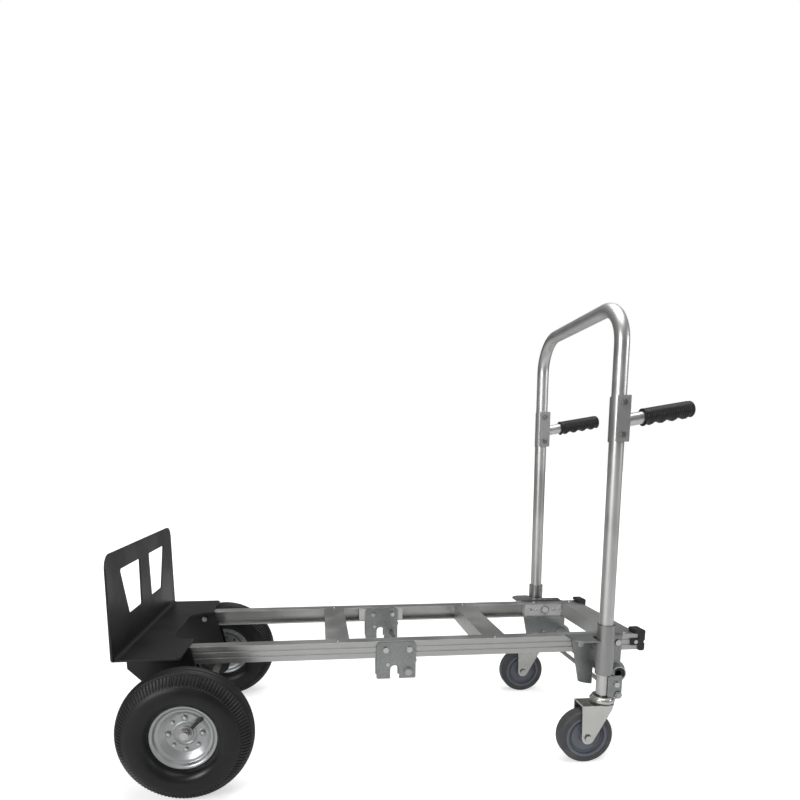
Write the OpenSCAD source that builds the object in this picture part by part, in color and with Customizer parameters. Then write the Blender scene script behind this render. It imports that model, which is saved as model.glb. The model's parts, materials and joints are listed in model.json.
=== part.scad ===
// Convertible hand truck, standing as a four-wheel platform cart.
// The frame lies level, the toe plate stands up at the -X end and the handle at the +X end.
// The ground is Z = 0. The left side is -Y. Turning the handle about its pivot bolts and sliding
// it through its sleeves makes a two-wheel hand truck of it.

/* [Placement] */
// Main axle's place along the frame, from the middle of the whole object
axle_x = -437; // [-460:1:-420]

/* [Main wheels] */
// Radius of the pneumatic tyre
tyre_r = 130; // [125:1:135]
// Width of the tyre's section
tyre_w = 88; // [80:1:92]
// Thickness of the tyre's wall
tyre_wall = 6; // [4:1:9]
// Distance of each wheel's middle from the centre line
wheel_y = 250; // [244:1:260]
// Radius of the rim's outer lip
rim_r = 63.5; // [60:0.5:66]
// Distance between the rim's two lips
rim_w = 48; // [42:1:56]
// Radius of the ring of rim bolts
rim_bolt_ring_r = 32; // [30:1:33]
// Number of rim bolts
rim_bolts_n = 8; // [4:1:8]
// Radius of the hub tube
hub_r = 15; // [14:0.5:16]
// Length of the hub tube outside the wheel's middle plane
hub_out = 6; // [5:1:12]
// Length of the hub tube inside the wheel's middle plane
hub_in = 57; // [50:1:60]
// Radius of a valve stem at the rim
valve_r = 4.6; // [4:0.1:5]
// Radius of the axle rod
axle_r = 8; // [7:0.5:9]

/* [Frame] */
// Height of the rails' top faces over the ground
rail_top = 267; // [264:1:270]
// Height of a rail's section
rail_h = 36; // [34:1:38]
// Width of a rail's section
rail_w = 26; // [24:1:28]
// Thickness of a rail's walls
rail_t = 3; // [2.5:0.5:3.5]
// Distance from the centre line to a rail's outer face
rail_y = 154; // [150:1:158]
// End of the rails beside the toe plate, from the axle
rail_start = -124; // [-126:1:-118]
// End of the rails beside the handle, from the axle
rail_end = 955; // [950:1:960]
// Middles of the three cross members, from the axle
member_x = [295, 635, 929];
// Width of a cross member
member_w = 50; // [44:1:56]

/* [Toe plate] */
// Place of the nose plate's load face, from the axle
toe_x = -128; // [-130:1:-126]
// Thickness of the toe plate's sheet
toe_t = 4; // [3:0.5:5]
// Height of the nose plate over the rails
toe_h = 204; // [190:1:220]
// Half width of the nose plate over its bend
toe_half = 239; // [230:1:245]
// Half width of the nose plate at its free edge
toe_tip_half = 235; // [220:1:240]
// Half width of the back plate over the rails
toe_back_half = 230; // [220:1:235]
// Reach of the back plate along the rails
toe_back = 124; // [120:1:126]
// Half width of the cut-out between the rails
toe_cut_half = 107; // [100:1:115]
// Depth of the cut-out between the rails
toe_cut_depth = 46; // [40:1:50]
// Radius of the cut-out's corners
toe_cut_r = 38; // [30:1:40]

/* [Brackets] */
// Thickness of the pressed bracket plates
plate_t = 3; // [2.5:0.5:3.5]
// Pivot bolt's place along the frame, from the axle
pivot_x = 857; // [855:1:859]
// Radius of the pivot bolt
pivot_r = 6; // [5:0.5:7]
// Brace tube's place along the frame, from the axle
brace_x = 904; // [902:1:906]
// Brace tube's height over the ground
brace_z = 184; // [182:1:186]
// Radius of the brace tube
brace_r = 16.5; // [16:0.5:17]
// Half length of the brace tube
brace_half = 176; // [172:1:177]
// Middle bracket's end beside the toe plate, from the axle
mid_x = 375.5; // [374:0.5:377]
// Length of a middle bracket
mid_l = 84; // [82:1:86]
// Lowest edge of a middle bracket over the ground
mid_bottom = 185; // [183:1:187]
// Half width of the notch that takes the cross rod
notch_half = 9.5; // [9:0.5:10.5]
// Top of the notch over the ground
notch_top = 214; // [214:0.5:216]

/* [Latch] */
// Latch rod's place along the frame, from the axle
latch_x = 443.5; // [442:0.5:445]
// Latch rod's height over the ground
latch_z = 200; // [199:0.5:201]
// Radius of the latch rod
latch_r = 5.5; // [5:0.5:6]

/* [Handle] */
// Distance of the handle's tubes from the centre line
handle_y = 196; // [195:0.5:198]
// Radius of the handle's tube
tube_r = 14.3; // [14:0.1:14.5]
// Thickness of the handle tube's wall
tube_t = 2.3; // [2:0.1:2.5]
// Lean of the handle towards the toe plate
handle_lean = 0.9; // [0:0.1:1.5]
// Height of the handle's top bar over the ground
handle_top = 941; // [930:1:960]
// Radius of the handle's bends
bend_r = 76; // [70:1:84]
// Lower end of the handle's tubes over the ground
tube_bottom = 150; // [149:1:151]
// Length of a pivoting sleeve
sleeve_l = 108; // [100:1:108]
// Radius of a pivoting sleeve
sleeve_r = 18; // [17.5:0.1:18]
// Cross rod's place, from the tube's axis
rod_dx = 25; // [24:0.5:26]
// Cross rod's height over the ground
rod_z = 152.5; // [152:0.5:153]
// Radius of the cross rod
rod_r = 5; // [4:0.5:5]

/* [Grips] */
// Height at which the grips' stubs leave the tubes
grip_z = 719; // [700:1:740]
// Tilt of the grips over the level
grip_tilt = 9.5; // [8:0.5:12]
// Length of a rubber grip
grip_l = 106; // [100:1:115]
// Radius of a rubber grip
grip_r = 17.5; // [16:0.5:18]
// Radius of the stub inside the grip
stub_r = 12.5; // [11:0.5:13]

/* [Casters] */
// Radius of a caster's wheel
caster_r = 58.5; // [56:0.5:60]
// Width of a caster's wheel
caster_w = 31; // [28:1:33]
// Distance of the wheel's axle behind the swivel axis
caster_trail = 36; // [30:1:38]
// Radius of the swivel race
race_r = 25.5; // [24:0.5:26]

/* [Hidden] */
$fn = 72;
eps = 0.05;
running = 0.06;
caster_x = pivot_x + 1.5;
rail_bottom = rail_top - rail_h;
rail_in = rail_y - rail_w;
rail_mid = rail_top - rail_h / 2;
pivot_z = rail_mid;
outer_y = rail_y + plate_t;
inner_y = rail_in - plate_t;
toe_out = toe_x - toe_t;
nose_top = rail_top + toe_h;
bolt_r = 4;
small_bolt_r = 2.5;
mid_bolt_x = [mid_x + 20, mid_x + 70];
mid_joggle = 1.5;
joggle_z = rail_bottom - 1.5;
flange_z = rail_top + 0.5;
hook_edge = pivot_x - sleeve_r - 1.5;
grip_start = 37;
stub_l = grip_start + grip_l - 14;
clamp_bolt_x = pivot_x + 3;
fork_inside = caster_w / 2 + 2.5;
fork_t = 3;
fork_top = 131;
race_top = 147;
caster_bolt_r = 5;
clamp_h = 89;
clamp_z = 722.5;
clamp_bolt_dz = 30.5;
axle_half = wheel_y + hub_out + 12;

// Stations along the frame are measured from the main axle.
module from_axle() {
    translate([axle_x, 0, 0]) children();
}

// The right side is the left side in a mirror.
module right_side() {
    mirror([0, 1, 0]) children();
}

// The sleeves and the handle lean a little about the pivot bolts.
module leaned() {
    translate([axle_x + pivot_x, 0, pivot_z]) rotate([0, -handle_lean, 0])
        translate([-pivot_x, 0, -pivot_z]) children();
}

module both_sides() {
    children();
    right_side() children();
}

// A flat outline drawn in X and Z becomes a plate from y to y + t.
module plate(y, t) {
    translate([0, y + t, 0]) rotate([90, 0, 0]) linear_extrude(t) children();
}

// A flat outline drawn in Y and Z becomes a plate from x to x + t.
module cross_plate(x, t) {
    translate([x, 0, 0]) rotate([90, 0, 90]) linear_extrude(t) children();
}

// A round bar along Y, from y0 to y1.
module bar(x, z, y0, y1, r) {
    translate([x, y0, z]) rotate([-90, 0, 0]) cylinder(h = y1 - y0, r = r);
}

// A hexagon along Y, across its corners 2 r.
module hex(x, z, y0, y1, r) {
    translate([x, y0, z]) rotate([-90, 0, 0]) cylinder(h = y1 - y0, r = r, $fn = 6);
}

// A rectangle with round corners.
module round_rect(x0, z0, x1, z1, r) {
    for (x = [x0 + r, x1 - r], z = [z0 + r, z1 - r]) translate([x, z]) circle(r);
    translate([x0 + r, z0]) square([x1 - x0 - 2 * r, z1 - z0]);
    translate([x0, z0 + r]) square([x1 - x0, z1 - z0 - 2 * r]);
}

// A notch that is open downwards and round at its top.
module notch(x, top, half, bottom) {
    translate([x, top - half]) circle(half);
    translate([x - half, bottom]) square([2 * half, top - half - bottom]);
}

// ---- Frame ----

// Section of the left rail: a channel open towards the centre line, with two grooves outside.
module rail_section() {
    groove = 1;
    difference() {
        translate([-rail_y, rail_bottom]) square([rail_w, rail_h]);
        translate([-rail_y + rail_t, rail_bottom + rail_t])
            square([rail_w, rail_h - 2 * rail_t]);
        for (dz = [-7, 5])
            translate([-rail_y - eps, rail_mid + dz]) square([groove + eps, 3]);
    }
}

module rail_holes() {
    for (x = mid_bolt_x) bar(x, rail_mid, -rail_y - 1, -rail_in + 1, bolt_r + 0.2);
    bar(pivot_x, pivot_z, -rail_y - 1, -rail_in + 1, pivot_r + 0.2);
    for (x = [821, 907]) bar(x, rail_mid, -rail_y - 1, -rail_in + 1, bolt_r + 0.2);
    bar(rail_end - 7, rail_mid, -rail_y - 1, -rail_in + 1, small_bolt_r + 0.2);
    bar(-90, rail_mid, -rail_y - 1, -rail_in + 1, bolt_r + 0.2);
    bar(-30, rail_mid, -rail_y - 1, -rail_in + 1, bolt_r + 0.2);
    for (x = member_x)
        translate([x, -rail_y + rail_w / 2, rail_top - rail_t - 1])
            cylinder(h = rail_t + 2, r = small_bolt_r + 0.2);
}

module rail() {
    difference() {
        cross_plate(rail_start, rail_end - rail_start) rail_section();
        rail_holes();
    }
}

module rail_left() {
    color("#c9cbcd") from_axle() rail();
}

module rail_right() {
    color("#c9cbcd") from_axle() right_side() rail();
}

// One cross member: a channel open downwards, with a tab under each rail's top wall.
module cross_member(x) {
    tab = 22;
    difference() {
        translate([x - member_w / 2, -rail_in, rail_bottom])
            cube([member_w, 2 * rail_in, rail_h]);
        translate([x - member_w / 2 + rail_t, -rail_in - 1, rail_bottom - 1])
            cube([member_w - 2 * rail_t, 2 * rail_in + 2, rail_h - rail_t + 1]);
    }
    for (y = [-rail_in - tab, rail_in - 2])
        translate([x - 12, y, rail_top - 2 * rail_t - 0.2])
            cube([24, tab + 2, rail_t]);
}

module cross_members() {
    color("#c9cbcd") from_axle()
        for (x = member_x)
            difference() {
                cross_member(x);
                both_sides()
                    translate([x, -rail_y + rail_w / 2, rail_top - 4 * rail_t])
                        cylinder(h = 4 * rail_t, r = small_bolt_r + 0.2);
            }
}

// The screws that hold the cross members, with button heads on the rails.
module member_screws() {
    color("#8f9396") from_axle()
        both_sides()
            for (x = member_x)
                translate([x, -rail_y + rail_w / 2, rail_top]) {
                    cylinder(h = 1.8, r1 = 4.5, r2 = 3.2);
                    translate([0, 0, -2 * rail_t - 2]) cylinder(h = 2 * rail_t + 3, r = small_bolt_r);
                }
}

// Plastic cap on a rail's end: two bulges with a notch between, a lip over the rail and a tongue.
module end_cap() {
    cap_l = 14;
    lip = 9;
    y0 = -rail_y - 3;
    w = rail_w + 4;
    difference() {
        union() {
            plate(y0, w) {
                round_rect(rail_end, rail_bottom - 2, rail_end + cap_l, rail_mid + 3, 4);
                round_rect(rail_end, rail_mid - 3, rail_end + cap_l, rail_top + lip, 4);
                round_rect(rail_end - 9, rail_top + 0.3, rail_end + cap_l, rail_top + lip, 4);
                translate([rail_end, rail_bottom]) square([5, rail_h]);
            }
            plate(y0, 2.9) round_rect(rail_end - 18, rail_mid - 7.5, rail_end + 5, rail_mid + 7.5, 2);
            plate(-rail_y + rail_t + 0.3, rail_w - rail_t - 2)
                round_rect(rail_end - 13, rail_bottom + rail_t + 0.3, rail_end + 2,
                           rail_top - rail_t - 0.3, 2);
        }
        bar(rail_end + cap_l + 1.5, rail_mid, y0 - 1, y0 + w + 1, 4);
        bar(rail_end - 7, rail_mid, y0 - 1, y0 + w + 1, small_bolt_r + 0.2);
    }
}

module end_cap_left() {
    color("#151516") from_axle() end_cap();
}

module end_cap_right() {
    color("#151516") from_axle() right_side() end_cap();
}

module cap_screws() {
    color("#8f9396") from_axle() both_sides() {
        bar(rail_end - 7, rail_mid, -rail_y - 3, -rail_in - 4, small_bolt_r);
        bar(rail_end - 7, rail_mid, -rail_y - 4.8, -rail_y - 3, 4.2);
    }
}

// ---- Toe plate ----

module toe_window() {
    low = rail_top + 66;
    high = rail_top + 166;
    corner = 5;
    hull() {
        translate([36 + corner, low + corner]) circle(corner, $fn = 32);
        translate([124 - corner, low + corner]) circle(corner, $fn = 32);
        translate([32 + corner, high - corner]) circle(corner, $fn = 32);
        translate([160 - corner, high - corner]) circle(corner, $fn = 32);
    }
}

// Nose plate seen along X: it narrows to its free edge and has round corners and two windows.
module nose_outline() {
    corner = 28;
    foot = 10;
    difference() {
        union() {
            polygon([[-toe_half, rail_top + foot], [toe_half, rail_top + foot],
                     [toe_tip_half, nose_top - corner], [-toe_tip_half, nose_top - corner]]);
            for (s = [-1, 1]) {
                translate([s * (toe_tip_half - corner), nose_top - corner]) circle(corner);
                translate([s * (toe_half - foot), rail_top + foot]) circle(foot);
            }
            translate([-toe_tip_half + corner, nose_top - corner])
                square([2 * (toe_tip_half - corner), corner]);
            translate([-toe_half + foot, rail_top]) square([2 * (toe_half - foot), foot + 1]);
        }
        toe_window();
        mirror([1, 0]) toe_window();
    }
}

// Back plate seen from above, with the wide cut-out between the rails.
module back_outline() {
    end = toe_out + toe_back;
    cut = end - toe_cut_depth;
    difference() {
        translate([toe_out, -toe_back_half]) square([end - toe_out, 2 * toe_back_half]);
        for (s = [-1, 1])
            translate([end, s * toe_back_half]) rotate(45) square(8, center = true);
        for (s = [-1, 1])
            translate([cut + toe_cut_r, s * (toe_cut_half - toe_cut_r)]) circle(toe_cut_r);
        translate([cut, -toe_cut_half + toe_cut_r])
            square([toe_cut_depth + 1, 2 * (toe_cut_half - toe_cut_r)]);
        translate([cut + toe_cut_r, -toe_cut_half])
            square([toe_cut_depth - toe_cut_r + 1, 2 * toe_cut_half]);
    }
}

module toe_plate() {
    bend = 7;
    color("#1c1d1f") from_axle() difference() {
        union() {
            cross_plate(toe_out, toe_t) nose_outline();
            translate([0, 0, rail_top]) linear_extrude(toe_t) back_outline();
            plate(-toe_back_half, 2 * toe_back_half)
                difference() {
                    translate([toe_x - 1, rail_top + toe_t - 1]) square(bend + 1);
                    translate([toe_x + bend, rail_top + toe_t + bend]) circle(bend);
                }
        }
        // the bend's outer corner is rounded too
        plate(-toe_half - 1, 2 * toe_half + 2)
            difference() {
                translate([toe_out - 1, rail_top - 1]) square(toe_t + 1);
                translate([toe_out + toe_t, rail_top + toe_t]) circle(toe_t);
            }
    }
}

// ---- Main axle and its brackets ----

module axle_bracket_outline() {
    boss = 26;
    hull() {
        polygon([[toe_out + 1, rail_top - 0.3], [toe_out + 1, 227],
                 [-5, rail_top - 0.3], [-5, 226]]);
        translate([0, tyre_r]) circle(boss, $fn = 64);
    }
}

// One bracket: two gusset plates that hold the rail between them, joined at the toe end.
module axle_bracket() {
    difference() {
        union() {
            plate(-outer_y, plate_t - eps) axle_bracket_outline();
            plate(-rail_in + eps, plate_t - eps) axle_bracket_outline();
            translate([toe_out + 1, -outer_y, 227])
                cube([plate_t, outer_y - inner_y, rail_top - 227.3]);
        }
        bar(0, tyre_r, -outer_y - 1, -inner_y + 1, axle_r + 0.1);
        for (x = [-90, -30]) bar(x, rail_mid, -outer_y - 1, -inner_y + 1, bolt_r + 0.2);
    }
}

module axle_bracket_left() {
    color("#17181a") from_axle() axle_bracket();
}

module axle_bracket_right() {
    color("#17181a") from_axle() right_side() axle_bracket();
}

module toe_bolts() {
    color("#b9bcbe") from_axle() both_sides()
        for (x = [-90, -30]) through_bolt(x, rail_mid, -outer_y, -inner_y, bolt_r, 7);
}

module axle() {
    color("#c4c7c9") from_axle() bar(0, tyre_r, -axle_half, axle_half, axle_r);
}

// Washers and nuts that keep the wheels on the axle, and collars inside the wheels.
module axle_collars() {
    out = wheel_y + hub_out;
    color("#a9adb0") from_axle() both_sides() {
        difference() {
            union() {
                bar(0, tyre_r, -out - 2, -out - 0.3, 12);
                hex(0, tyre_r, -out - 9, -out - 2, 11);
            }
            bar(0, tyre_r, -out - 10, -out, axle_r + eps);
        }
        difference() {
            bar(0, tyre_r, -wheel_y + hub_in + 0.3, -outer_y, 11);
            bar(0, tyre_r, -wheel_y + hub_in, -outer_y + 1, axle_r + eps);
        }
    }
}

// ---- Middle brackets and latch ----

// A bolt along Y on the left side, its head outside at y0 and its nut inside at y1.
module through_bolt(x, z, y0, y1, r, head_r) {
    bar(x, z, y0 - 1, y1 + 6, r);
    bar(x, z, y0 - 1.2, y0 - 0.1, head_r);
    hex(x, z, y0 - 4.2, y0 - 1.2, head_r - 0.5);
    difference() {
        hex(x, z, y1 + 0.1, y1 + 4, head_r - 0.5);
        bar(x, z, y1, y1 + 5, r + eps);
    }
}

module mid_outline() {
    corner = 9;
    x1 = mid_x + mid_l;
    difference() {
        union() {
            round_rect(mid_x, mid_bottom, x1, rail_top - 2, corner);
            round_rect(mid_x, mid_bottom, x1, rail_mid, 3);
        }
        notch(mid_x + 39, notch_top, notch_half, mid_bottom - 1);
        for (x = mid_bolt_x) translate([x, rail_mid]) circle(bolt_r + 0.2);
        translate([latch_x, latch_z]) circle(latch_r + running);
    }
}

// One bracket plate: its lower half steps towards the rail's middle below the rail.
module mid_plate(y, step) {
    difference() {
        plate(y, plate_t) mid_outline();
        translate([mid_x - 1, y - 1, mid_bottom - 1])
            cube([mid_l + 2, plate_t + 2, joggle_z - mid_bottom + 1]);
    }
    difference() {
        plate(y + step, plate_t) mid_outline();
        translate([mid_x - 1, y - 3, joggle_z + 1])
            cube([mid_l + 2, plate_t + 6, rail_h + 10]);
    }
}

module mid_plates() {
    mid_plate(-outer_y, mid_joggle);
    mid_plate(-rail_in, -mid_joggle);
    // the spacer that ties the two plates below the rail
    spacer_y = -outer_y + mid_joggle + plate_t;
    translate([mid_x + 66, spacer_y - eps, 214])
        cube([mid_l - 66, -rail_in - mid_joggle - spacer_y + 2 * eps, 11]);
}

module mid_plates_left() {
    color("#9da1a2") from_axle() mid_plates();
}

module mid_plates_right() {
    color("#9da1a2") from_axle() right_side() mid_plates();
}

module filler(x0, x1) {
    y0 = -rail_y + rail_t + 0.1;
    translate([x0, y0, rail_bottom + rail_t + 0.2])
        cube([x1 - x0, -rail_in - 0.1 - y0, rail_h - 2 * rail_t - 0.4]);
}

// A raised ring on a filler block's inner face.
module filler_ring(x, r) {
    difference() {
        bar(x, rail_mid, -rail_in - 1, -rail_in + 1.2, r);
        bar(x, rail_mid, -rail_in, -rail_in + 2, r - 2);
    }
}

// Cast blocks inside the rails, so that the middle brackets' bolts don't crush them.
module mid_fillers() {
    color("#dcdedf") from_axle() both_sides() difference() {
        filler(mid_x - 16, mid_x + mid_l + 13);
        for (x = mid_bolt_x) bar(x, rail_mid, -rail_y, -rail_in + 1, bolt_r + 0.2);
    }
}

module mid_bolts() {
    color("#b9bcbe") from_axle() both_sides() {
        for (x = mid_bolt_x) through_bolt(x, rail_mid, -outer_y, -inner_y, bolt_r, 7);
        // rivet heads on the lower half, and the end screw of the spacer
        bar(mid_x + 24, 216, -outer_y, -outer_y + mid_joggle, 4);
        bar(mid_x + 24, 216, -inner_y - mid_joggle, -inner_y, 4);
        translate([mid_x + mid_l, -rail_y + rail_w / 2, 219.5])
            rotate([0, 90, 0]) cylinder(h = 4, r1 = 5, r2 = 3.5);
    }
}

module latch_rod() {
    end_y = outer_y - mid_joggle + 0.4;
    color("#b4b8ba") from_axle() {
        bar(latch_x, latch_z, -end_y, end_y, latch_r);
        both_sides() {
            bar(latch_x, latch_z, -end_y - 2.5, -end_y, 9);
            hex(latch_x, latch_z, -end_y - 7, -end_y - 2.5, 7.5);
        }
    }
}

// Foot pad and catch finger at the middle of the latch rod.
module latch_pedal() {
    tip = mid_x + 32;
    pad_half = 26;
    color("#8f9395") from_axle() difference() {
        union() {
            bar(latch_x, latch_z, -14, 14, 10);
            translate([latch_x - 1.5, -pad_half, latch_z - 50]) cube([3, 2 * pad_half, 44]);
            plate(-4, 8)
                polygon([[latch_x, latch_z - 9], [tip, latch_z - 9], [tip - 4, latch_z - 5],
                         [tip - 4, latch_z + 4], [tip, latch_z + 4], [tip + 2, latch_z + 1],
                         [latch_x, latch_z + 1]]);
        }
        bar(latch_x, latch_z, -15, 15, latch_r + eps);
    }
}

// Close-wound coils of the spring that turns the latch back.
module latch_spring() {
    coils = 6;
    wire_r = 1.1;
    color("#6f7375") from_axle()
        for (i = [0:coils - 1])
            translate([latch_x, -inner_y + mid_joggle + 4 + i * 2.7, latch_z]) rotate([90, 0, 0])
                rotate_extrude() translate([latch_r + wire_r + 0.1, 0]) circle(wire_r, $fn = 24);
}

// ---- Pivot brackets at the handle end ----

// Outline of the plates that carry the pivot bolt and the brace tube. Its lower edge follows
// a curve about the pivot, which the handle's cross rod passes outside.
module pivot_outline(x0, top) {
    ear = 24;
    leg_r = 92.5;
    leg_x = 853;
    difference() {
        union() {
            intersection() {
                polygon([[x0, top], [x0 + 25, 148], [leg_x, 148], [leg_x, top]]);
                translate([pivot_x, pivot_z]) circle(leg_r, $fn = 180);
            }
            translate([leg_x - 20, 208]) square([916 - leg_x + 20, top - 208]);
            translate([brace_x, brace_z]) circle(ear);
            translate([brace_x - ear, brace_z]) square([2 * ear - 12, 50]);
        }
        notch(leg_x + 13, 192, 13, 140);
        translate([pivot_x, pivot_z]) circle(pivot_r + 0.2);
        for (x = [821, 907]) translate([x, rail_mid]) circle(bolt_r + 0.2);
        translate([brace_x, brace_z]) circle(brace_r + eps);
    }
}

// Hook-shaped flange over the folded handle, seen from above.
module flange_outline() {
    y_out = 208;
    corner = 24;
    x0 = 787;
    translate([x0, -outer_y]) square([hook_edge - x0, plate_t]);
    translate([x0 + corner, -y_out + corner]) circle(corner);
    translate([x0 + corner, -y_out]) square([hook_edge - x0 - corner, y_out - outer_y]);
    translate([x0, -y_out + corner]) square([hook_edge - x0, y_out - outer_y - corner + 1]);
    translate([hook_edge - 1, -outer_y - 15]) square([909 - hook_edge + 1, 15 + plate_t]);
}

module pivot_bracket() {
    plate(-outer_y, plate_t - eps) pivot_outline(800, flange_z);
    translate([800, -outer_y, rail_top - 8]) cube([109, plate_t - eps, flange_z - rail_top + 9]);
    translate([0, 0, flange_z]) linear_extrude(plate_t) flange_outline();
}

module pivot_bracket_left() {
    color("#a7abac") from_axle() pivot_bracket();
}

module pivot_bracket_right() {
    color("#a7abac") from_axle() right_side() pivot_bracket();
}

// The inner plates hang from a foot under the rails and hold the brace tube's ears.
module pivot_inner_outline() {
    ear = 24;
    difference() {
        union() {
            polygon([[806, rail_bottom - plate_t], [brace_x + 8, rail_bottom - plate_t],
                     [brace_x + 8, brace_z], [brace_x - 20, brace_z - 13], [850, 196],
                     [822, 217]]);
            translate([brace_x, brace_z]) circle(ear);
        }
        translate([brace_x, brace_z]) circle(brace_r + eps);
    }
}

module pivot_inner_plates() {
    foot_x = 807;
    color("#a7abac") from_axle() both_sides() {
        plate(-inner_y - plate_t + eps, plate_t - eps) pivot_inner_outline();
        translate([foot_x, -rail_y + eps, rail_bottom - plate_t - eps])
            cube([brace_x + 8 - foot_x, rail_y - inner_y - 1, plate_t]);
    }
}

// Cast blocks in the rails at the pivots, with ring bosses and the pivot bolt's pocket.
module pivot_fillers() {
    color("#dcdedf") from_axle() both_sides() difference() {
        union() {
            filler(802, 914);
            for (x = [pivot_x - 41, pivot_x + 41]) filler_ring(x, 7);
            for (x = [pivot_x - 24, pivot_x + 24]) filler_ring(x, 4.5);
            filler_ring(pivot_x, 12.5);
        }
        bar(pivot_x, pivot_z, -rail_y, -rail_in + 2, pivot_r + 0.2);
        bar(pivot_x, pivot_z, -rail_in - 4, -rail_in + 2, 10.7);
        for (x = [821, 907]) bar(x, rail_mid, -rail_y, -rail_in + 2, bolt_r + 0.2);
    }
}

module brace_tube() {
    color("#b3b7b8") from_axle() difference() {
        bar(brace_x, brace_z, -brace_half, brace_half, brace_r);
        bar(brace_x, brace_z, -brace_half - 1, brace_half + 1, brace_r - 2.5);
    }
}

module brace_plugs() {
    plug_r = brace_r - 2.5 - eps;
    color("#3a3c3e") from_axle() both_sides() difference() {
        bar(brace_x, brace_z, -brace_half + 3, -brace_half + 22, plug_r);
        bar(brace_x, brace_z, -brace_half, -brace_half + 18, 7.5);
    }
}

// The bolts that the sleeves turn on: head in the filler block, shank out through the bracket.
module pivot_bolts() {
    end_y = -handle_y + sleeve_r + 1;
    color("#b9bcbe") from_axle() both_sides() {
        bar(pivot_x, pivot_z, end_y, -rail_in - 4, pivot_r);
        hex(pivot_x, pivot_z, -rail_in - 4, -rail_in + 0.8, 10);
    }
}

// The pivot brackets' own bolts through the rails.
module bracket_bolts() {
    color("#b9bcbe") from_axle() both_sides()
        for (x = [821, 907]) {
            bar(x, rail_mid, -outer_y - 1, -rail_in - 0.5, bolt_r);
            bar(x, rail_mid, -outer_y - 3.5, -outer_y - 0.05, 6.5);
        }
}

// ---- Sleeves ----

// A sleeve around the handle's tube, with a boss that turns on the pivot bolt.
module sleeve() {
    boss_r = 13;
    boss_end = -outer_y - 0.4;
    difference() {
        union() {
            translate([pivot_x, -handle_y, pivot_z - sleeve_l / 2])
                cylinder(h = sleeve_l, r = sleeve_r);
            bar(pivot_x, pivot_z, -handle_y + 4, boss_end, boss_r);
        }
        translate([pivot_x, -handle_y, pivot_z - sleeve_l / 2 - 1])
            cylinder(h = sleeve_l + 2, r = tube_r + running);
        bar(pivot_x, pivot_z, -handle_y + tube_r, boss_end + 1, pivot_r + running);
    }
}

module sleeve_left() {
    color("#b8bbbd") leaned() sleeve();
}

module sleeve_right() {
    color("#b8bbbd") leaned() right_side() sleeve();
}

// ---- Handle ----

module tube_leg(r) {
    translate([pivot_x, -handle_y, tube_bottom])
        cylinder(h = handle_top - bend_r - tube_bottom, r = r);
}

module tube_bend(r) {
    translate([pivot_x, -handle_y + bend_r, handle_top - bend_r])
        rotate([90, 0, -90]) rotate_extrude(angle = 90) translate([bend_r, 0]) circle(r);
}

module handle_solid(r) {
    both_sides() {
        tube_leg(r);
        tube_bend(r);
    }
    bar(pivot_x, handle_top, -handle_y + bend_r, handle_y - bend_r, r);
}

module handle_tube() {
    color("#c6c9cb") leaned() difference() {
        handle_solid(tube_r);
        handle_solid(tube_r - tube_t);
        both_sides()
            for (dz = [-clamp_bolt_dz, clamp_bolt_dz])
                bar(clamp_bolt_x, clamp_z + dz, -handle_y - tube_r - 1, -handle_y + tube_r + 1, 3.2);
    }
}

// The line of a grip: it starts on the tube's side and rises away from it.
module grip_line() {
    translate([pivot_x + tube_r, -handle_y, grip_z]) rotate([0, 90 - grip_tilt, 0]) children();
}

// A saddle bolted to the tube, with the stub that the rubber grip is pushed over.
module grip_clamp() {
    side_t = 2.5;
    back_x = pivot_x + tube_r + 0.1;
    difference() {
        union() {
            for (y = [-handle_y - tube_r - side_t - 0.1, -handle_y + tube_r + 0.1])
                plate(y, side_t)
                    round_rect(pivot_x - 10, clamp_z - clamp_h / 2, back_x + side_t,
                               clamp_z + clamp_h / 2, 2);
            translate([back_x, -handle_y - tube_r - side_t - 0.1, clamp_z - clamp_h / 2 + 8])
                cube([side_t, 2 * (tube_r + side_t + 0.1), clamp_h - 16]);
            grip_line() translate([0, 0, -2]) cylinder(h = stub_l + 2, r = stub_r);
        }
        translate([pivot_x, -handle_y, clamp_z - clamp_h]) cylinder(h = 2 * clamp_h, r = tube_r + eps);
        grip_line() translate([0, 0, 1]) cylinder(h = stub_l + 2, r = stub_r - 2);
        for (dz = [-clamp_bolt_dz, clamp_bolt_dz])
            bar(clamp_bolt_x, clamp_z + dz, -handle_y - 30, -handle_y + 30, 3.2);
    }
}

module grip_clamp_left() {
    color("#c0c3c5") leaned() grip_clamp();
}

module grip_clamp_right() {
    color("#c0c3c5") leaned() right_side() grip_clamp();
}

module clamp_bolts() {
    y0 = -handle_y - tube_r - 2.7;
    y1 = -handle_y + tube_r + 2.7;
    color("#b0b3b5") leaned() both_sides()
        for (dz = [-clamp_bolt_dz, clamp_bolt_dz]) {
            bar(clamp_bolt_x, clamp_z + dz, y0 - 1, y1 + 5, 3);
            bar(clamp_bolt_x, clamp_z + dz, y0 - 3.5, y0, 6);
            hex(clamp_bolt_x, clamp_z + dz, y1, y1 + 4, 6);
        }
}

// A rubber grip: a ringed sleeve closed at its free end.
module grip() {
    rings = 8;
    end_r = 7;
    grip_line() translate([0, 0, grip_start])
        rotate_extrude() difference() {
                union() {
                    square([grip_r, grip_l - end_r]);
                    translate([0, grip_l - end_r - 1]) square([grip_r - end_r, end_r + 1]);
                    translate([grip_r - end_r, grip_l - end_r]) circle(end_r);
                }
                translate([-1, -1]) square([stub_r + 1 + eps, stub_l + 2 - grip_start]);
                for (i = [1:rings]) translate([grip_r, i * (grip_l - 12) / (rings + 1)]) circle(1.2);
                translate([-2 * grip_r, -1]) square([2 * grip_r, grip_l + 2]);
            }
}

module grip_left() {
    color("#1a1b1c") leaned() grip();
}

module grip_right() {
    color("#1a1b1c") leaned() right_side() grip();
}

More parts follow.
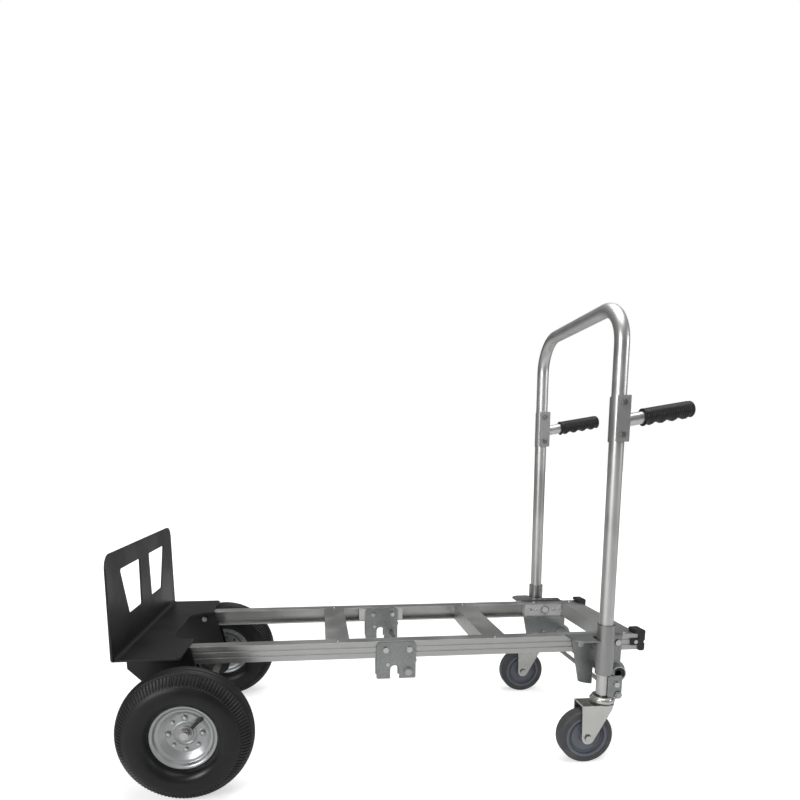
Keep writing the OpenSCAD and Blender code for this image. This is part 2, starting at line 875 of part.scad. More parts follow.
// A lug that hugs the tube's foot and holds the cross rod.
module rod_lug() {
    low = rod_z - 9;
    high = pivot_z - sleeve_l / 2 - 0.6;
    side_t = 3;
    rod_x = pivot_x + rod_dx;
    y0 = -handle_y - tube_r - side_t;
    y1 = -handle_y + tube_r + side_t;
    difference() {
        union() {
            for (y = [y0, y1 - side_t])
                plate(y, side_t) {
                    round_rect(pivot_x + 2, low, rod_x + 8, high, 4);
                }
            translate([pivot_x + tube_r - 3, y0, high - 28]) cube([6, y1 - y0, 28]);
        }
        translate([pivot_x, -handle_y, low - 1]) cylinder(h = 80, r = tube_r + eps);
        bar(rod_x, rod_z, y0 - 1, y1 + 1, rod_r + eps);
        bar(pivot_x + 20.5, 176, y0 - 1, y1 + 1, 3.2);
        translate([caster_x, -handle_y, low - 1])
            cylinder(h = race_top + 1.1 - low, r = race_r - 1.5);
    }
}

module rod_lug_left() {
    color("#9fa3a5") leaned() rod_lug();
}

module rod_lug_right() {
    color("#9fa3a5") leaned() right_side() rod_lug();
}

module lug_bolts() {
    y0 = -handle_y - tube_r - 3;
    y1 = -handle_y + tube_r + 3;
    x = pivot_x + 20.5;
    color("#b0b3b5") leaned() both_sides() {
        bar(x, 176, y0 - 1, y1 + 4, 3);
        bar(x, 176, y0 - 1.2, y0 - 0.05, 7);
        hex(x, 176, y0 - 5.2, y0 - 1.2, 6);
        hex(x, 176, y1 + 0.05, y1 + 3.5, 5.5);
    }
}

// The rod across both tubes, with a nut on each side of each lug.
module cross_rod() {
    x = pivot_x + rod_dx;
    y0 = -handle_y - tube_r - 3;
    y1 = -handle_y + tube_r + 3;
    color("#c4c7c9") leaned() {
        bar(x, rod_z, y0 - 6, -y0 + 6, rod_r);
        both_sides() {
            hex(x, rod_z, y0 - 4, y0 - 0.05, 8);
            hex(x, rod_z, y1 + 0.05, y1 + 4.5, 8);
        }
    }
}

// ---- Casters ----

// The upper half of each swivel bearing, with its stem in the tube's foot.
module swivel_races() {
    stem_r = tube_r - tube_t - 1;
    color("#b7babc") from_axle() both_sides()
        translate([caster_x, -handle_y, 0]) {
            translate([0, 0, fork_top + 4.3])
                rotate_extrude() difference() {
                    union() {
                        square([race_r - 4, race_top - fork_top - 4.3 + 3]);
                        square([race_r, 5]);
                        translate([race_r - 6, 5]) circle(5);
                    }
                    translate([-race_r, -1]) square([race_r, 60]);
                    translate([-1, race_top - fork_top - 4.3]) square([race_r + 2, 10]);
                    translate([-1, -6]) square([race_r + 2, 6]);
                }
            translate([0, 0, race_top - 1]) cylinder(h = 45, r = stem_r);
        }
}

module fork_leg_outline() {
    hull() {
        translate([-caster_trail, caster_r]) circle(13.5, $fn = 40);
        translate([-caster_trail - 16, fork_top - 12]) square([40, 12]);
        translate([-8, fork_top - 8]) square([22, 8]);
    }
}

// Fork drawn at the swivel axis; the wheel trails towards -X.
module caster_fork() {
    top_x = -caster_trail - 14;
    difference() {
        union() {
            for (y = [-fork_inside - fork_t, fork_inside]) plate(y, fork_t) fork_leg_outline();
            translate([top_x, -fork_inside - fork_t, fork_top - 4])
                cube([-top_x, 2 * (fork_inside + fork_t), 4]);
            translate([0, 0, fork_top - 4]) cylinder(h = 4, r = race_r - 1);
            translate([0, 0, fork_top - 1]) cylinder(h = 5, r1 = race_r - 1, r2 = race_r - 6);
        }
        bar(-caster_trail, caster_r, -40, 40, caster_bolt_r + 0.1);
    }
}

module caster_fork_left() {
    color("#b3b6b8") from_axle() translate([caster_x, -handle_y, 0]) caster_fork();
}

module caster_fork_right() {
    color("#b3b6b8") from_axle() translate([caster_x, handle_y, 0]) caster_fork();
}

module caster_bolt() {
    out = fork_inside + fork_t;
    bar(-caster_trail, caster_r, -out - 1, out + 5, caster_bolt_r);
    hex(-caster_trail, caster_r, -out - 5, -out - 0.05, 8);
    hex(-caster_trail, caster_r, out + 0.05, out + 4.5, 8);
}

module caster_bolt_left() {
    color("#c4c7c9") from_axle() translate([caster_x, -handle_y, 0]) caster_bolt();
}

module caster_bolt_right() {
    color("#c4c7c9") from_axle() translate([caster_x, handle_y, 0]) mirror([0, 1, 0]) caster_bolt();
}

// Tread ring of a caster wheel, with rounded shoulders.
module caster_tread() {
    shoulder = 6;
    band = 13;
    translate([-caster_trail, 0, caster_r]) rotate([-90, 0, 0]) rotate_extrude()
        union() {
            translate([caster_r - band, -caster_w / 2])
                square([band - shoulder, caster_w]);
            translate([caster_r - shoulder - 1, -caster_w / 2 + shoulder])
                square([shoulder + 1, caster_w - 2 * shoulder]);
            for (s = [-1, 1])
                translate([caster_r - shoulder, s * (caster_w / 2 - shoulder)]) circle(shoulder);
        }
}

// Plastic hub of a caster wheel: a dished disc with a bearing barrel.
module caster_hub() {
    rim_in = caster_r - 13;
    translate([-caster_trail, 0, caster_r]) rotate([-90, 0, 0]) rotate_extrude()
        difference() {
            union() {
                translate([caster_bolt_r + running, -caster_w / 2 - 1.5])
                    square([9, caster_w + 3]);
                translate([caster_bolt_r + running, -9]) square([rim_in - 10, 18]);
                translate([rim_in - 6, -caster_w / 2 + 1]) square([6 - eps, caster_w - 2]);
            }
            for (s = [-1, 1]) translate([rim_in - 12, s * 9]) circle(1.5);
        }
}

module caster_tread_left() {
    color("#4c4e52") from_axle() translate([caster_x, -handle_y, 0]) caster_tread();
}

module caster_tread_right() {
    color("#4c4e52") from_axle() translate([caster_x, handle_y, 0]) caster_tread();
}

module caster_hub_left() {
    color("#6c7079") from_axle() translate([caster_x, -handle_y, 0]) caster_hub();
}

module caster_hub_right() {
    color("#6c7079") from_axle() translate([caster_x, handle_y, 0]) caster_hub();
}

// ---- Main wheels ----

module left_wheel_place() {
    from_axle() translate([0, -wheel_y, tyre_r]) children();
}

module right_wheel_place() {
    from_axle() translate([0, wheel_y, tyre_r]) mirror([0, 1, 0]) children();
}

// A section's points on the other side of the wheel's middle plane, in the turned-round order.
function other_half(points) =
    [for (i = [len(points) - 1:-1:0]) [points[i][0], -points[i][1]]];

// Turns a profile drawn as radius and width about the wheel's own axis.
module wheel_turned() {
    rotate([-90, 0, 0]) rotate_extrude($fn = 120) children();
}

// The tyre's section shrunk by the inset: a round crown over two tighter sidewalls.
module tyre_section(inset) {
    crown = tyre_w / 2;
    middle = tyre_r - crown;
    side_r = crown / 2;
    intersection() {
        translate([middle, 0]) circle(crown - inset, $fn = 96);
        translate([middle, -crown]) square([crown, tyre_w]);
    }
    for (s = [-1, 1]) translate([middle, s * side_r]) circle(side_r - inset);
    translate([middle - side_r + inset, -side_r]) square([side_r - inset + eps, 2 * side_r]);
}

// Hollow tyre with two beads, open between them where the rim closes it.
module tyre() {
    bead = [[rim_r + 2, 9], [rim_r + 2, 21.5], [rim_r - 2, 21.3], [rim_r - 4.4, 20],
            [rim_r - 6.4, 15.5], [rim_r - 6.2, 9]];
    wheel_turned() difference() {
        union() {
            difference() {
                tyre_section(0);
                tyre_section(tyre_wall);
            }
            polygon(bead);
            polygon(other_half(bead));
        }
        translate([rim_r - 8, -11]) square([23, 22]);
    }
}

module tyre_left() {
    color("#161718") left_wheel_place() tyre();
}

module tyre_right() {
    color("#161718") right_wheel_place() tyre();
}

// Pressed steel rim on a hub tube. Each half has a flat disc, a cone, a bead seat and a rolled lip.
module rim() {
    lip = rim_w / 2;
    half = [[hub_r - 1, -1], [41.5, -1], [51, 12.6], [56, 14.2], [59, 20.2], [61.4, 21.8],
            [rim_r, 21.8], [rim_r, lip], [60.5, lip], [57.2, 22.2], [54.2, 16.6],
            [49.5, 15], [40, 2.5], [hub_r - 1, 2.5]];
    difference() {
        wheel_turned() {
            polygon(half);
            polygon(other_half(half));
            translate([axle_r + running, -hub_out])
                square([hub_r - axle_r - running, hub_out + hub_in]);
            for (s = [-1, 1]) translate([hub_r - 1, s * 3.5 - 1]) square([6, 2]);
        }
        for (i = [0:rim_bolts_n - 1])
            rotate([0, 360 * i / rim_bolts_n, 0])
                bar(rim_bolt_ring_r, 0, -10, 10, small_bolt_r + 0.1);
        rotate([0, 45, 0]) translate([0, -12.5, 36]) cylinder(h = 16, r = valve_r + 0.1);
    }
}

module rim_left() {
    color("#a9b0b0") left_wheel_place() rim();
}

module rim_right() {
    color("#a9b0b0") right_wheel_place() rim();
}

module rim_bolts() {
    for (i = [0:rim_bolts_n - 1])
        rotate([0, 360 * i / rim_bolts_n, 0]) {
            bar(rim_bolt_ring_r, 0, -7, 7, small_bolt_r);
            hex(rim_bolt_ring_r, 0, -5.5, -2.5 - eps, 3.8);
            hex(rim_bolt_ring_r, 0, 2.5 + eps, 5.5, 3.8);
        }
}

module rim_bolts_left() {
    color("#bfc3c3") left_wheel_place() rim_bolts();
}

module rim_bolts_right() {
    color("#bfc3c3") right_wheel_place() rim_bolts();
}

// Rubber valve stem that leans out of the rim's cone over its disc.
module valve() {
    rotate([0, 45, 0]) translate([0, -12.5, 0]) {
        translate([0, 0, 21]) cylinder(h = 29, r = 3.4);
        translate([0, 0, 40]) cylinder(h = 10, r = valve_r);
    }
}

module valve_left() {
    color("#101011") left_wheel_place() valve();
}

module valve_right() {
    color("#101011") right_wheel_place() valve();
}

rail_left();
rail_right();
cross_members();
end_cap_left();
end_cap_right();
toe_plate();
axle_bracket_left();
axle_bracket_right();
axle();
axle_collars();
mid_plates_left();
mid_plates_right();
mid_fillers();
pivot_fillers();
pivot_bracket_left();
pivot_bracket_right();
pivot_inner_plates();
brace_tube();
brace_plugs();
pivot_bolts();
toe_bolts();
mid_bolts();
bracket_bolts();
member_screws();
cap_screws();
latch_rod();
latch_pedal();
latch_spring();
sleeve_left();
sleeve_right();
handle_tube();
grip_clamp_left();
grip_clamp_right();
grip_left();
grip_right();
clamp_bolts();
rod_lug_left();
rod_lug_right();
cross_rod();
lug_bolts();
swivel_races();
caster_fork_left();
caster_fork_right();
caster_bolt_left();
caster_bolt_right();
caster_tread_left();
caster_tread_right();
caster_hub_left();
caster_hub_right();
tyre_left();
tyre_right();
rim_left();
rim_right();
rim_bolts_left();
rim_bolts_right();
valve_left();
valve_right();
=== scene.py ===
"""Looks of the convertible hand truck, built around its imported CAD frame.

Lengths are metres, in the frame's own axes: +X towards the handle, +Y to the right, +Z up.
"""

import json
import math

import bpy
import numpy as np
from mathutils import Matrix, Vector


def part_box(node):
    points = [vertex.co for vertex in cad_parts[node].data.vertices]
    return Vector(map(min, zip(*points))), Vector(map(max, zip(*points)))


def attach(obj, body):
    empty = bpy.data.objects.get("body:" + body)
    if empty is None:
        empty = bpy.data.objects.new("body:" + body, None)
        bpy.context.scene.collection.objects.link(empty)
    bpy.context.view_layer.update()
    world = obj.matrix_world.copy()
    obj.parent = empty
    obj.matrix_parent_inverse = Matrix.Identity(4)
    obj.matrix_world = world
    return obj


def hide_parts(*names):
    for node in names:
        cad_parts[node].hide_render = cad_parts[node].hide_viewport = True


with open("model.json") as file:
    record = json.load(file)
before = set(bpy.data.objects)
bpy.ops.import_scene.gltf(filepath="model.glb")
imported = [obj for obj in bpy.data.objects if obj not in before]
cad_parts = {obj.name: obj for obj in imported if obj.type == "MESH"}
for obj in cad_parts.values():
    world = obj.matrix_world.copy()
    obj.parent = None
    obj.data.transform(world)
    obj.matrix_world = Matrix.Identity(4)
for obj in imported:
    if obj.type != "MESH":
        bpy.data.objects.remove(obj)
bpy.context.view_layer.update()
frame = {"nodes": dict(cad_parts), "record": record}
nodes = frame["nodes"]
MM = 0.001
TAU = 2 * math.pi


# ---------------------------------------------------------------- meshes


def outward(points, quads):
    """The quads, turned round if the closed surface they make has a negative volume."""
    a, b, c, d = (points[quads[:, k]] for k in range(4))
    volume = np.einsum("ij,ij->i", a, np.cross(b, c) + np.cross(c, d)).sum()
    return quads if volume > 0 else quads[:, ::-1]


def sheet_of_points(name, grid, round_first=True, round_second=True):
    """A closed smooth mesh from a grid of points: each neighbour in both directions is joined by
    a quad, and a direction that is round joins its last row to its first."""
    rows, columns = grid.shape[:2]
    points = grid.reshape(-1, 3)
    i = np.arange(rows if round_first else rows - 1)[:, None]
    j = np.arange(columns if round_second else columns - 1)[None, :]
    i_next, j_next = (i + 1) % rows, (j + 1) % columns
    quads = np.stack(
        [i * columns + j, i_next * columns + j, i_next * columns + j_next, i * columns + j_next],
        axis=-1,
    ).reshape(-1, 4)
    return mesh_piece(name, points, outward(points, quads))


def mesh_piece(name, points, quads):
    """An object in the scene with these points and quads, shaded smooth. Points in one place are
    joined, so the quads round a pole become triangles that meet in it."""
    _, first, place = np.unique(
        np.round(points, 7), axis=0, return_index=True, return_inverse=True
    )
    points, quads = points[first], place.reshape(-1)[quads]
    kept = quads != np.roll(quads, -1, axis=1)
    whole = kept.sum(axis=1) >= 3
    quads, kept = quads[whole], kept[whole]
    corners, sizes = quads[kept], kept.sum(axis=1)
    mesh = bpy.data.meshes.new(name)
    mesh.vertices.add(len(points))
    mesh.vertices.foreach_set("co", np.ascontiguousarray(points, dtype=np.float32).ravel())
    mesh.loops.add(len(corners))
    mesh.loops.foreach_set("vertex_index", np.ascontiguousarray(corners, dtype=np.int32))
    mesh.polygons.add(len(sizes))
    starts = np.cumsum(sizes) - sizes
    mesh.polygons.foreach_set("loop_start", np.ascontiguousarray(starts, dtype=np.int32))
    mesh.polygons.foreach_set("use_smooth", np.ones(len(sizes), dtype=bool))
    mesh.update(calc_edges=True)
    mesh.validate()
    piece = bpy.data.objects.new(name, mesh)
    bpy.context.scene.collection.objects.link(piece)
    return piece


def finished(piece, body, material, slot, *replaced):
    """Gives a piece its material and its body, and hides the CAD nodes it stands for. The slot
    argument is not used.
    """
    piece.data.materials.append(material)
    if replaced:
        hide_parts(*replaced)
    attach(piece, body)
    return piece


def rounded(corners, radius, steps=6):
    """A closed outline with each corner cut back by the radius and joined by a curve: the curve
    is a parabola that starts and ends along the two sides."""
    corners = np.asarray(corners, float)
    before, after = np.roll(corners, 1, axis=0), np.roll(corners, -1, axis=0)
    radius = np.broadcast_to(np.asarray(radius, float), len(corners))[:, None]

    def cut(other):
        """The point on the way from each corner to its neighbour, the radius away."""
        way = other - corners
        length = np.linalg.norm(way, axis=1, keepdims=True)
        return corners + way * np.minimum(radius / length, 0.48)

    start, end = cut(before)[:, None, :], cut(after)[:, None, :]
    t = np.linspace(0, 1, steps)[None, :, None]
    middle = corners[:, None, :]
    return ((1 - t) ** 2 * start + 2 * t * (1 - t) * middle + t**2 * end).reshape(-1, 2)


def turned(outline, centre, turns):
    """A closed outline of (radius, width) carried round the Y axis through the centre."""
    angle = np.linspace(0, TAU, turns, endpoint=False)[:, None]
    radius, width = outline[None, :, 0], outline[None, :, 1]
    return np.stack(
        [
            centre[0] + radius * np.cos(angle),
            centre[1] + width + 0 * angle,
            centre[2] + radius * np.sin(angle),
        ],
        axis=-1,
    )


def middle_of(node):
    """The middle of a CAD node's box."""
    low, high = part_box(node)
    return (low + high) / 2


def window(x, low, high, soft):
    """1 between low and high and 0 outside, with a smooth step of width soft at both ends."""
    rise = np.clip((x - low) / soft + 0.5, 0, 1)
    fall = np.clip((high - x) / soft + 0.5, 0, 1)
    return (rise * rise * (3 - 2 * rise)) * (fall * fall * (3 - 2 * fall))


# ---------------------------------------------------------------- shader groups


def new_group(name, inputs, outputs):
    """A shader node group with named sockets. Inputs are (name, type, value) and outputs are
    (name, type)."""
    group = bpy.data.node_groups.new(name, "ShaderNodeTree")
    for title, kind, value in inputs:
        socket = group.interface.new_socket(title, in_out="INPUT", socket_type=kind)
        if value is not None:
            socket.default_value = value
    for title, kind in outputs:
        group.interface.new_socket(title, in_out="OUTPUT", socket_type=kind)
    return group


FLOAT, VECTOR = "NodeSocketFloat", "NodeSocketVector"


class Wiring:
    """Short ways to add and join nodes in one tree."""

    def __init__(self, tree):
        self.tree = tree

    def add(self, kind, **values):
        """Adds a node and sets its own properties."""
        node = self.tree.nodes.new(kind)
        for name, value in values.items():
            setattr(node, name, value)
        return node

    def join(self, source, target):
        """Joins two sockets, or sets the target to a plain value."""
        if isinstance(source, bpy.types.NodeSocket):
            self.tree.links.new(source, target)
        else:
            target.default_value = source

    def maths(self, operation, a, b=0.0, clamp=False):
        """One Math node's value."""
        node = self.add("ShaderNodeMath", operation=operation, use_clamp=clamp)
        self.join(a, node.inputs[0])
        self.join(b, node.inputs[1])
        return node.outputs[0]

    def noise(self, vector, scale, detail=4.0, roughness=0.55):
        """A noise value between 0 and 1."""
        node = self.add("ShaderNodeTexNoise")
        self.join(vector, node.inputs["Vector"])
        self.join(scale, node.inputs["Scale"])
        node.inputs["Detail"].default_value = detail
        node.inputs["Roughness"].default_value = roughness
        return node.outputs["Fac"]

    def stretch(self, value, low, high, to_low=0.0, to_high=1.0):
        """A value carried smoothly from one range to another."""
        node = self.add("ShaderNodeMapRange", interpolation_type="SMOOTHSTEP")
        self.join(value, node.inputs["Value"])
        for name, amount in (
            ("From Min", low),
            ("From Max", high),
            ("To Min", to_low),
            ("To Max", to_high),
        ):
            self.join(amount, node.inputs[name])
        return node.outputs["Result"]

    def mix(self, factor, a, b):
        """A colour between a and b."""
        node = self.add("ShaderNodeMix", data_type="RGBA")
        self.join(factor, node.inputs["Factor"])
        self.join(a, node.inputs["A"])
        self.join(b, node.inputs["B"])
        return node.outputs["Result"]

    def scaled(self, vector, scale):
        """A vector with each of its parts multiplied."""
        node = self.add("ShaderNodeVectorMath", operation="MULTIPLY")
        self.join(vector, node.inputs[0])
        self.join(scale, node.inputs[1])
        return node.outputs["Vector"]


def group_of(name, inputs, outputs, build):
    """Makes a group whose inside is wired by build(wiring, input sockets, output sockets)."""
    group = new_group(name, inputs, outputs)
    wiring = Wiring(group)
    build(wiring, wiring.add("NodeGroupInput").outputs, wiring.add("NodeGroupOutput").inputs)
    return group


def wire_soft_edges(w, given, gives):
    """Rounds the shading at sharp edges, and marks them where the surface is rubbed."""
    bevel = w.add("ShaderNodeBevel", samples=4)
    w.join(given["Radius"], bevel.inputs["Radius"])
    flat = w.add("ShaderNodeNewGeometry")
    dot = w.add("ShaderNodeVectorMath", operation="DOT_PRODUCT")
    w.join(bevel.outputs["Normal"], dot.inputs[0])
    w.join(flat.outputs["Normal"], dot.inputs[1])
    edge = w.stretch(dot.outputs["Value"], 0.995, 0.80)
    patches = w.stretch(w.noise(given["Vector"], 90.0, 5.0), 0.38, 0.62)
    w.join(w.maths("MULTIPLY", edge, patches), gives["Wear"])
    w.join(bevel.outputs["Normal"], gives["Normal"])


def wire_painted_hollow_shade(w, given, gives):
    """Marks the hollows and corners that get painted shade: where ambient occlusion finds other
    surfaces within the given reach, made stronger or weaker in patches by noise.
    """
    # painted shade: ambient occlusion stands in for the shade that falls in hollows and corners
    shade = w.add("ShaderNodeAmbientOcclusion", samples=6)
    w.join(given["Reach"], shade.inputs["Distance"])
    deep = w.stretch(shade.outputs["AO"], 0.85, 0.25)
    patches = w.stretch(w.noise(given["Vector"], 120.0, 4.0), 0.2, 0.6, 0.6, 1.0)
    w.join(w.maths("MULTIPLY", deep, patches), gives["Hollow"])


def wire_grain(w, given, gives):
    """Fine grain of a surface at a real scale, stretched along one axis by the Stretch input."""
    line = w.scaled(given["Vector"], given["Stretch"])
    fine = w.noise(line, given["Scale"], 3.0, 0.6)
    broad = w.noise(given["Vector"], 9.0, 3.0, 0.5)
    w.join(fine, gives["Height"])
    w.join(w.stretch(broad, 0.3, 0.7), gives["Broad"])
    w.join(w.stretch(fine, 0.25, 0.75), gives["Mask"])


def wire_dirt(w, given, gives):
    """Thin dust that gathers low on the object and in patches."""
    parts = w.add("ShaderNodeSeparateXYZ")
    w.join(given["Vector"], parts.inputs[0])
    low = w.stretch(parts.outputs["Z"], given["Height"], 0.0)
    patches = w.stretch(w.noise(given["Vector"], 16.0, 6.0, 0.65), 0.42, 0.78)
    spots = w.stretch(w.noise(given["Vector"], 60.0, 4.0, 0.6), 0.5, 0.8)
    both = w.maths("MAXIMUM", w.maths("MULTIPLY", low, patches), w.maths("MULTIPLY", spots, 0.35))
    w.join(w.maths("MULTIPLY", both, given["Amount"], clamp=True), gives["Dust"])


SOFT_EDGES = group_of(
    "Soft edges",
    [("Vector", VECTOR, None), ("Radius", FLOAT, 0.8 * MM)],
    [("Normal", VECTOR), ("Wear", FLOAT)],
    wire_soft_edges,
)
HOLLOW_SHADE_GROUP = group_of(
    "Painted shade in hollows",
    [("Vector", VECTOR, None), ("Reach", FLOAT, 6 * MM)],
    [("Hollow", FLOAT)],
    wire_painted_hollow_shade,
)
GRAIN = group_of(
    "Surface grain",
    [("Vector", VECTOR, None), ("Stretch", VECTOR, (1, 1, 1)), ("Scale", FLOAT, 900.0)],
    [("Height", FLOAT), ("Broad", FLOAT), ("Mask", FLOAT)],
    wire_grain,
)
DIRT = group_of(
    "Light dust",
    [("Vector", VECTOR, None), ("Height", FLOAT, 0.3), ("Amount", FLOAT, 0.2)],
    [("Dust", FLOAT)],
    wire_dirt,
)


# ---------------------------------------------------------------- materials

DUST_COLOUR = (0.33, 0.31, 0.28, 1)
# near-black colour of the painted shade laid into hollows and corners
PAINTED_SHADE_COLOUR = (0.035, 0.034, 0.032, 1)


def finish_material(
    name,
    dark,
    light,
    metallic,
    rough,
    rough_spread=0.08,
    stretch=(1, 1, 1),
    grain_scale=900.0,
    bump=0.05,
    bump_depth=0.02 * MM,
    edge_colour=None,
    edge_radius=0.8 * MM,
    dust=0.15,
    gloss=0.5,
    speck=0.5,
    painted_shade_amount=0.75,
):
    """A finish: its colour runs between dark and light by broad patches and fine grain, its edges
    are rubbed to the edge colour, thin dust lies on it and painted shade darkens its hollows."""
    material = bpy.data.materials.new(name)
    material.use_nodes = True
    tree = material.node_tree
    w = Wiring(tree)
    shader = tree.nodes["Principled BSDF"]
    place = w.add("ShaderNodeTexCoord").outputs["Object"]
    grain = w.add("ShaderNodeGroup", node_tree=GRAIN)
    edges = w.add("ShaderNodeGroup", node_tree=SOFT_EDGES)
    dirt = w.add("ShaderNodeGroup", node_tree=DIRT)
    hollows = w.add("ShaderNodeGroup", node_tree=HOLLOW_SHADE_GROUP)
    for group in (grain, edges, dirt, hollows):
        w.join(place, group.inputs["Vector"])
    grain.inputs["Stretch"].default_value = stretch
    grain.inputs["Scale"].default_value = grain_scale
    edges.inputs["Radius"].default_value = edge_radius
    dirt.inputs["Amount"].default_value = dust

    blend = w.maths(
        "ADD",
        w.maths("MULTIPLY", grain.outputs["Mask"], speck),
        w.maths("MULTIPLY", grain.outputs["Broad"], 1 - speck),
    )
    colour = w.mix(blend, (*dark, 1), (*light, 1))
    if edge_colour is not None:
        colour = w.mix(edges.outputs["Wear"], colour, (*edge_colour, 1))
    colour = w.mix(dirt.outputs["Dust"], colour, DUST_COLOUR)
    # painted shade: the colour is darkened towards near black in hollows and corners, where shade
    # falls
    painted_shade = w.maths("MULTIPLY", hollows.outputs["Hollow"], painted_shade_amount)
    colour = w.mix(painted_shade, colour, PAINTED_SHADE_COLOUR)
    w.join(colour, shader.inputs["Base Color"])
    broad = grain.outputs["Broad"]
    roughness = w.stretch(broad, 0.0, 1.0, rough - rough_spread, rough + rough_spread)
    dusty = w.maths("MULTIPLY", dirt.outputs["Dust"], 0.3)
    roughness = w.maths("ADD", roughness, dusty, clamp=True)
    w.join(roughness, shader.inputs["Roughness"])
    if metallic > 0:
        clean = w.maths("SUBTRACT", metallic, dirt.outputs["Dust"], clamp=True)
        w.join(clean, shader.inputs["Metallic"])
    shader.inputs["Specular IOR Level"].default_value = gloss
    relief = w.add("ShaderNodeBump")
    relief.inputs["Strength"].default_value = bump
    relief.inputs["Distance"].default_value = bump_depth
    w.join(grain.outputs["Height"], relief.inputs["Height"])
    w.join(edges.outputs["Normal"], relief.inputs["Normal"])
    w.join(relief.outputs["Normal"], shader.inputs["Normal"])
    return material


